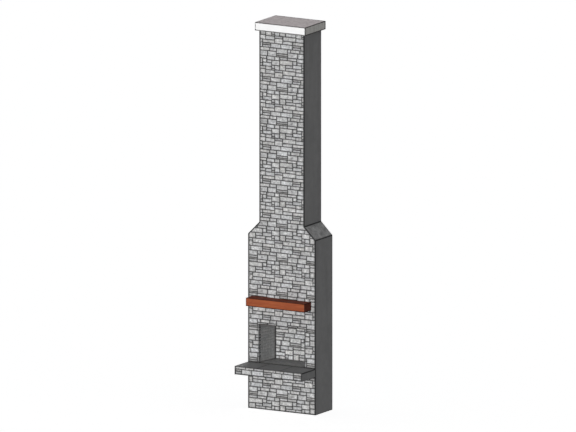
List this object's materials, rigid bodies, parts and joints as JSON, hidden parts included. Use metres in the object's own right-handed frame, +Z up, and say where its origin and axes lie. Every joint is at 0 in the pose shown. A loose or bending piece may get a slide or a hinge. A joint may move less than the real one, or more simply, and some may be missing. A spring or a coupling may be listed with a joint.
{
  "type": "masonry fireplace",
  "caption": "Tall outdoor masonry fireplace: stone-faced front, raised cantilevered hearth, open firebox with throat damper, timber mantel, shouldered chimney and cap slab.",
  "frame": {"origin": "middle of the body's footprint, on the underside of the base slab", "axes": "+Z up, along the chimney; the firebox and the hearth face -Y; +X to the right when facing the firebox"},
  "size_m": [1.8288, 1.524, 9.2964],
  "materials": {
    "stone": "rough split-face stone, light grey",
    "mortar": "recessed dark grey mortar",
    "render": "trowelled dark grey cement render",
    "block": "plain concrete block",
    "concrete": "cast concrete",
    "paving": "honed dark slate",
    "firebrick": "sooty firebrick",
    "clay": "fired clay",
    "cast_iron": "matt black casting",
    "steel": "dark mill scale",
    "timber": "oiled red-brown timber",
    "cap": "cast pale concrete"
  },
  "bodies": {
    "masonry": {"base_slab": "concrete", "base_left_wall": "block", "base_right_wall": "block", "base_front_wall": "block", "base_rear_wall": "block", "base_veneer": "stone", "hearth_slab": "concrete", "hearth_fascia": "stone", "hearth_paving": "paving", "firebox_floor": "firebrick", "left_cheek": "firebrick", "right_cheek": "firebrick", "firebox_back_wall": "stone", "inner_lintel": "concrete", "throat_block": "firebrick", "lintel_angle": "steel", "damper_frame": "cast_iron", "damper_hinge_pin": "steel", "left_body_wall": "block", "right_body_wall": "block", "rear_body_wall": "block", "breast_wall": "block", "left_smoke_chamber_wall": "firebrick", "right_smoke_chamber_wall": "firebrick", "left_haunch_block": "block", "right_haunch_block": "block", "left_shoulder_block": "block", "right_shoulder_block": "block", "left_stack_wall": "block", "right_stack_wall": "block", "front_stack_wall": "block", "rear_stack_wall": "block", "cap_slab": "cap", "render_coat": "render", "flue_liner_1": "clay", "flue_liner_2": "clay", "flue_liner_3": "clay", "flue_liner_4": "clay", "flue_liner_5": "clay", "flue_liner_6": "clay", "flue_liner_7": "clay", "flue_liner_8": "clay", "flue_liner_9": "clay", "flue_liner_10": "clay", "left_jamb_veneer": "stone", "right_jamb_veneer": "stone", "lower_breast_veneer": "stone", "upper_breast_veneer": "stone", "shoulder_veneer": "stone", "lower_stack_veneer": "stone", "middle_stack_veneer": "stone", "upper_stack_veneer": "stone", "mantel_beam": "timber", "left_mantel_rod": "steel", "middle_mantel_rod": "steel", "right_mantel_rod": "steel"},
    "damper": {"damper_plate": "cast_iron", "control_bar_pin": "steel"},
    "damper_control": {"control_bar": "cast_iron"}
  },
  "joints": [
    {"name": "damper_hinge", "type": "hinge", "parent": "masonry", "child": "damper", "pos_m": [0, 0.0026, 2.26685], "axis": [-1, 0, 0], "range_deg": [0, 70]},
    {"name": "control_bar_pivot", "type": "hinge", "parent": "damper", "child": "damper_control", "pos_m": [0, -0.14, 2.23965], "axis": [1, 0, 0], "range_deg": [0, 70]}
  ],
  "couplings": [
    {"joint": "control_bar_pivot", "follows": "damper_hinge", "ratio": 1}
  ]
}
